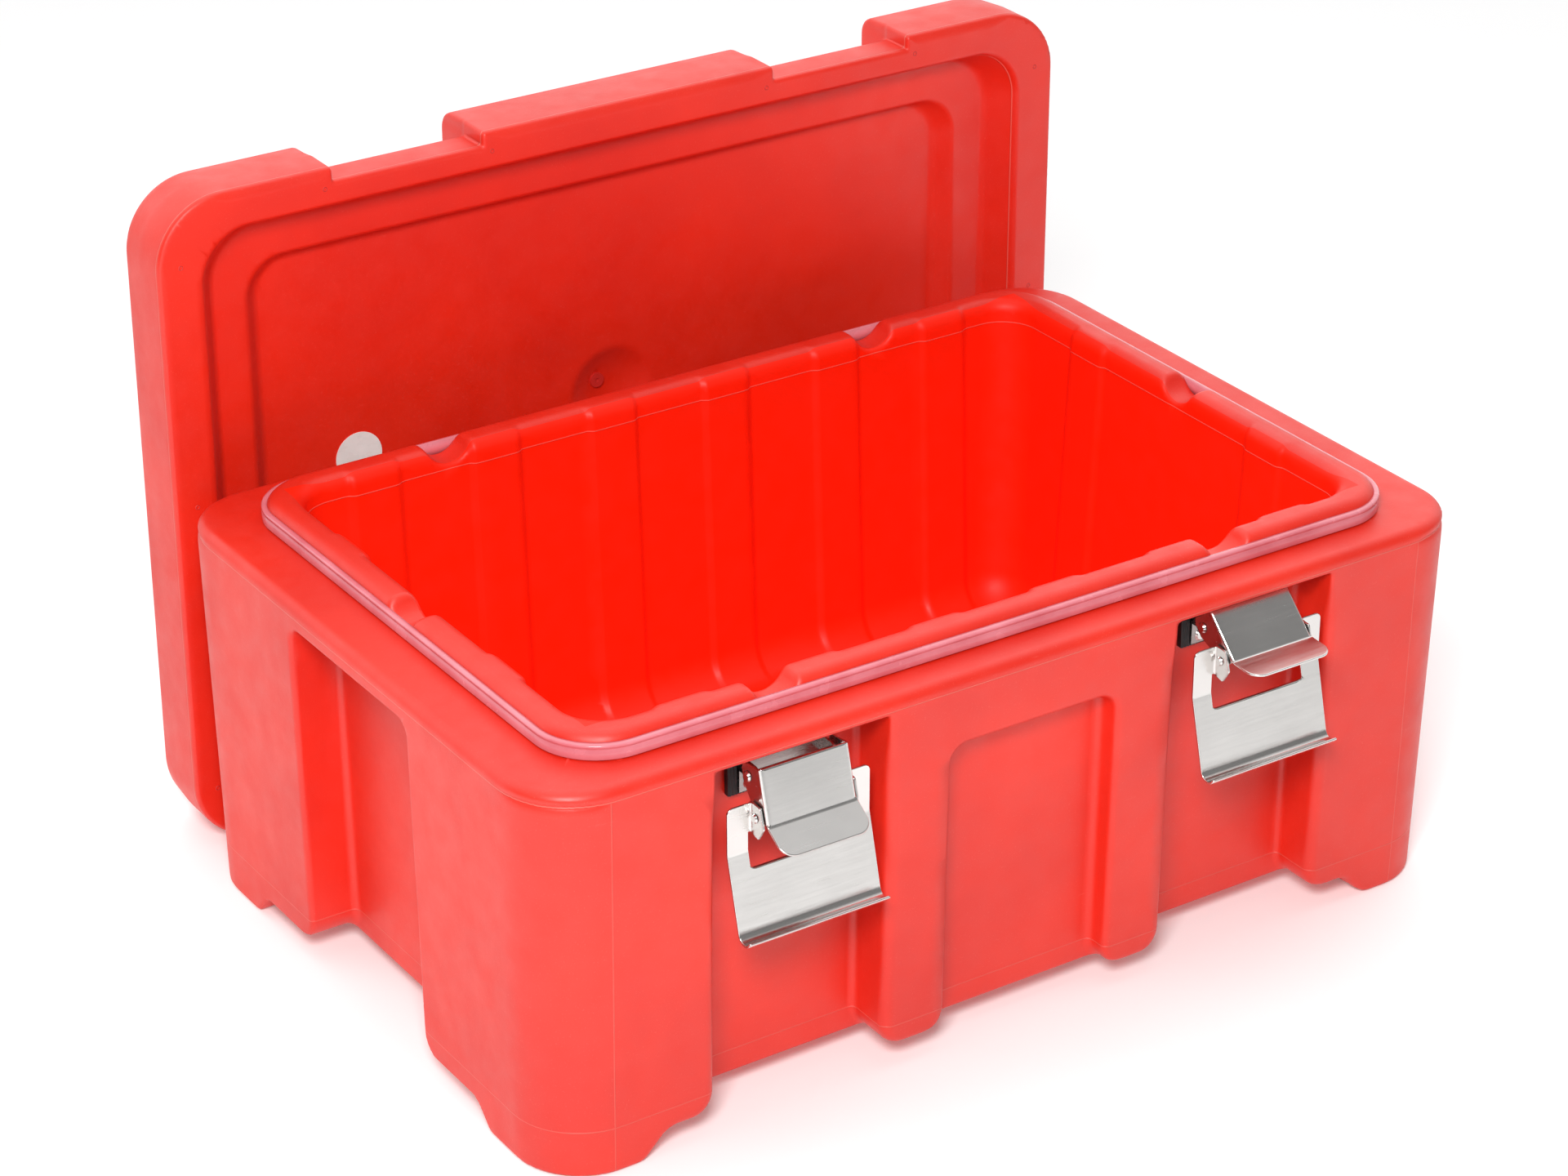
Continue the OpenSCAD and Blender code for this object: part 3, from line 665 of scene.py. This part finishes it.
def steel(name, tint, rough=(0.20, 0.28)):
    """Tumbled stainless sheet: satin, with fine scratches one way and small pale marks."""
    material, nodes, links, shader = new_material(name, Metallic=1.0)
    marks = to_range(nodes, links, add_noise(nodes, links, 700, 3, 0.6), 0, 0.3, 0.68, 0.76)
    shade = ramp(nodes, links, add_noise(nodes, links, 25, 4),
                 [(0.3, tuple(0.90 * c for c in tint)), (0.7, tint)])
    color = mixed(nodes, links, marks, shade, (0.93, 0.92, 0.90))
    links.new(color, shader.inputs["Base Color"])
    streaks = add_noise(nodes, links, 500, 4, 0.6, (0.05, 1, 1))
    links.new(to_range(nodes, links, streaks, *rough), shader.inputs["Roughness"])
    under = add_bump(nodes, links, shader, streaks, 0.05, 0.00003)
    add_bump(nodes, links, shader, add_noise(nodes, links, 30, 2), 0.08, 0.0004, under)
    return material


def simple(name, a, b, scale, rough, bump_scale, bump, **values):
    material, nodes, links, shader = new_material(name, **values)
    links.new(ramp(nodes, links, add_noise(nodes, links, scale, 4), [(0.3, a), (0.7, b)]),
              shader.inputs["Base Color"])
    links.new(to_range(nodes, links, add_noise(nodes, links, scale * 2, 3), *rough),
              shader.inputs["Roughness"])
    add_bump(nodes, links, shader, add_noise(nodes, links, bump_scale, 3), bump, 0.0003)
    return material


RED_DEEP, RED, RED_PALE = (0.68, 0.013, 0.002), (0.79, 0.020, 0.004), (0.90, 0.26, 0.20)
# the lid's red is a copy of the body's red, toned to how light falls on the lid: its difference from the body's
# red is painted light and shade, not a different plastic
LID_RED_DEEP_LIGHT_MATCHED, LID_RED_LIGHT_MATCHED = (0.70, 0.013, 0.002), (0.80, 0.019, 0.003)
# a brighter, deeper red for the inside of the box: painted light, for the light bouncing round the open box
RED_INSIDE_PAINTED_BOUNCE = (0.92, 0.015, 0.0008)
MATERIALS = {
    "red_polyethylene": plastic("body_polyethylene", RED_DEEP, RED, RED_PALE, lines=body_lines),
    "lid_polyethylene": plastic("lid_polyethylene", LID_RED_DEEP_LIGHT_MATCHED, LID_RED_LIGHT_MATCHED, RED_PALE, lines=lid_lines),
    "filling_plugs": plastic("filling_plug_plastic", (0.5, 0.015, 0.010), (0.6, 0.02, 0.014), RED_PALE),
    "insulating_foam": simple("insulating_foam_cells", (0.86, 0.76, 0.50), (0.95, 0.88, 0.66),
                              300, (0.8, 0.95), 700, 0.6),
    "silicone": simple("silicone_band", (0.62, 0.15, 0.18), (0.74, 0.24, 0.28), 30, (0.16, 0.30),
                       200, 0.15, IOR=1.43, Coat_Weight=0.4, Coat_Roughness=0.12),
    "stainless_steel": steel("stainless_sheet", (0.74, 0.72, 0.70)),
    # a darker copy of the steel for the brackets: painted shade for the shadow deep in the lever's channel
    "bracket_steel_painted_shade": steel("bracket_sheet_painted_shade", (0.34, 0.30, 0.29), (0.20, 0.32)),
    "black_rubber": simple("ribbed_rubber", (0.010, 0.010, 0.011), (0.022, 0.022, 0.024), 150,
                           (0.45, 0.62), 600, 0.3),
    "white_label": simple("label_film", (0.80, 0.79, 0.75), (0.90, 0.89, 0.86), 60, (0.22, 0.34),
                          300, 0.08),
}


def add_piece(obj, body, slot, *replaced, finish=None):
    obj.data.materials.clear()
    obj.data.materials.append(MATERIALS[finish or slot])
    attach(obj, body)
    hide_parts(*replaced)


slot_of = {part["node"]: part["material_slot"] for part in frame["record"]["subparts"]}
for node_name, node in frame["nodes"].items():
    # the base brackets take the darker steel, which paints the shade they sit in
    shade = MATERIALS["bracket_steel_painted_shade" if node_name.endswith("_base_bracket") else slot_of[node_name]]
    if not node.material_slots:
        node.data.materials.append(shade)
    for material_slot in node.material_slots:
        material_slot.material = shade

# ---------------------------------------------------------------- pieces

add_piece(shaped("body_moulding", body_field, shell_low, shell_high, BODY_VOXEL),
          "box", "red_polyethylene", "body_shell")
add_piece(shaped("lid_moulding", lid_field, lid_low, lid_high, LID_VOXEL),
          "lid", "red_polyethylene", "lid_shell", finish="lid_polyethylene")
add_piece(pin_marks_mesh("lid_pin_marks"), "lid", "red_polyethylene", finish="filling_plugs")
add_piece(gasket_mesh("gasket_band"), "box", "silicone", "lip_gasket")

lever_box = ((-LEVER_W / 2, -32, -50), (LEVER_W / 2, 8, 10))
hook_box = ((-HOOK_HALF, -20, -82), (HOOK_HALF, 8, 12))
for latch in LATCHES:
    lever_at, hook_at = hinge_at[f"{latch}_lever_hinge"], hinge_at[f"{latch}_hook_hinge"]
    lever_turn = WALL_LEAN - math.radians(OPEN_ANGLE[latch])
    hook_turn = WALL_LEAN - math.radians(HOOK_LEAN)
    add_piece(shaped(f"{latch}_lever_sheet", lever_field, *lever_box, LATCH_VOXEL,
                     latch_frame(latch, lever_at, lever_turn)),
              f"{latch}_lever", "stainless_steel", f"{latch}_lever")
    add_piece(shaped(f"{latch}_hook_sheet", hook_field, *hook_box, LATCH_VOXEL,
                     latch_frame(latch, hook_at, hook_turn)),
              f"{latch}_hook", "stainless_steel", f"{latch}_hook_plate")
    add_piece(pad_mesh(f"{latch}_ribbed_pad", latch), "box", "black_rubber", f"{latch}_backing_pad")

# ---------------------------------------------------------------- stage

floor_mesh = bpy.data.meshes.new("studio_floor")
reach = 12.0
floor_mesh.from_pydata([(-reach, -reach, 0), (reach, -reach, 0), (reach, reach, 0), (-reach, reach, 0)],
                       [], [(0, 1, 2, 3)])
floor = bpy.data.objects.new("studio_floor", floor_mesh)
bpy.context.scene.collection.objects.link(floor)
floor_material, _, _, floor_shader = new_material("studio_floor_paint", Roughness=0.9)
floor_shader.inputs["Base Color"].default_value = (0.92, 0.92, 0.92, 1)
floor_shader.inputs["Emission Color"].default_value = (1, 1, 1, 1)
floor_shader.inputs["Emission Strength"].default_value = 0.14
floor_mesh.materials.append(floor_material)

world = bpy.data.worlds.new("studio")
bpy.context.scene.world = world
world.use_nodes = True
world_nodes, world_links = world.node_tree.nodes, world.node_tree.links
background = world_nodes["Background"]
direction = world_nodes.new("ShaderNodeTexCoord").outputs["Generated"]


def facing(toward, low, high, dark, bright):
    """A grey that rises from dark to bright as the direction turns towards a vector."""
    dot = world_nodes.new("ShaderNodeVectorMath")
    dot.operation = "DOT_PRODUCT"
    dot.inputs[1].default_value = Vector(toward).normalized()
    world_links.new(direction, dot.inputs[0])
    fade = world_nodes.new("ShaderNodeMapRange")
    fade.interpolation_type = "SMOOTHSTEP"
    for socket, value in (("From Min", low), ("From Max", high), ("To Min", dark), ("To Max", bright)):
        fade.inputs[socket].default_value = value
    world_links.new(dot.outputs["Value"], fade.inputs["Value"])
    return fade.outputs["Result"]


# a bright wall behind, and a dim panel to the front right that the open lever mirrors
sky = world_nodes.new("ShaderNodeMath")
sky.operation = "ADD"
world_links.new(facing((0.25, 0.85, 0.40), 0.0, 0.8, 0.0, 1.5), sky.inputs[0])
world_links.new(facing((0.58, -0.63, 0.54), 0.6, 0.95, 0.03, 0.25), sky.inputs[1])
background.inputs["Color"].default_value = (1.0, 1.0, 1.0, 1)
world_links.new(sky.outputs["Value"], background.inputs["Strength"])


def area_light(name, at, aim, side, watts):
    """A square softbox at a place, turned to a point."""
    data = bpy.data.lights.new(name, "AREA")
    data.shape = "SQUARE"
    data.size = side
    data.energy = watts
    obj = bpy.data.objects.new(name, data)
    obj.location = at
    obj.rotation_euler = (Vector(aim) - Vector(at)).to_track_quat("-Z", "Y").to_euler()
    bpy.context.scene.collection.objects.link(obj)


middle = (0, 0, 0.15)
area_light("key_softbox", (-1.3, -1.6, 1.8), middle, 0.65, 57)
area_light("top_softbox", (-0.3, -0.25, 2.3), middle, 1.4, 6)

camera_data = bpy.data.cameras.new("camera")
camera_data.lens = 95.56
camera_data.sensor_width = 36.0
camera_data.clip_end = 50
camera = bpy.data.objects.new("camera", camera_data)
camera.location = (-1.2774, -1.8939, 1.3704)
camera.rotation_euler = (math.radians(90 - 27.17), 0, math.radians(-33.42))
bpy.context.scene.collection.objects.link(camera)
bpy.context.scene.camera = camera

bpy.context.scene.view_settings.view_transform = "Standard"
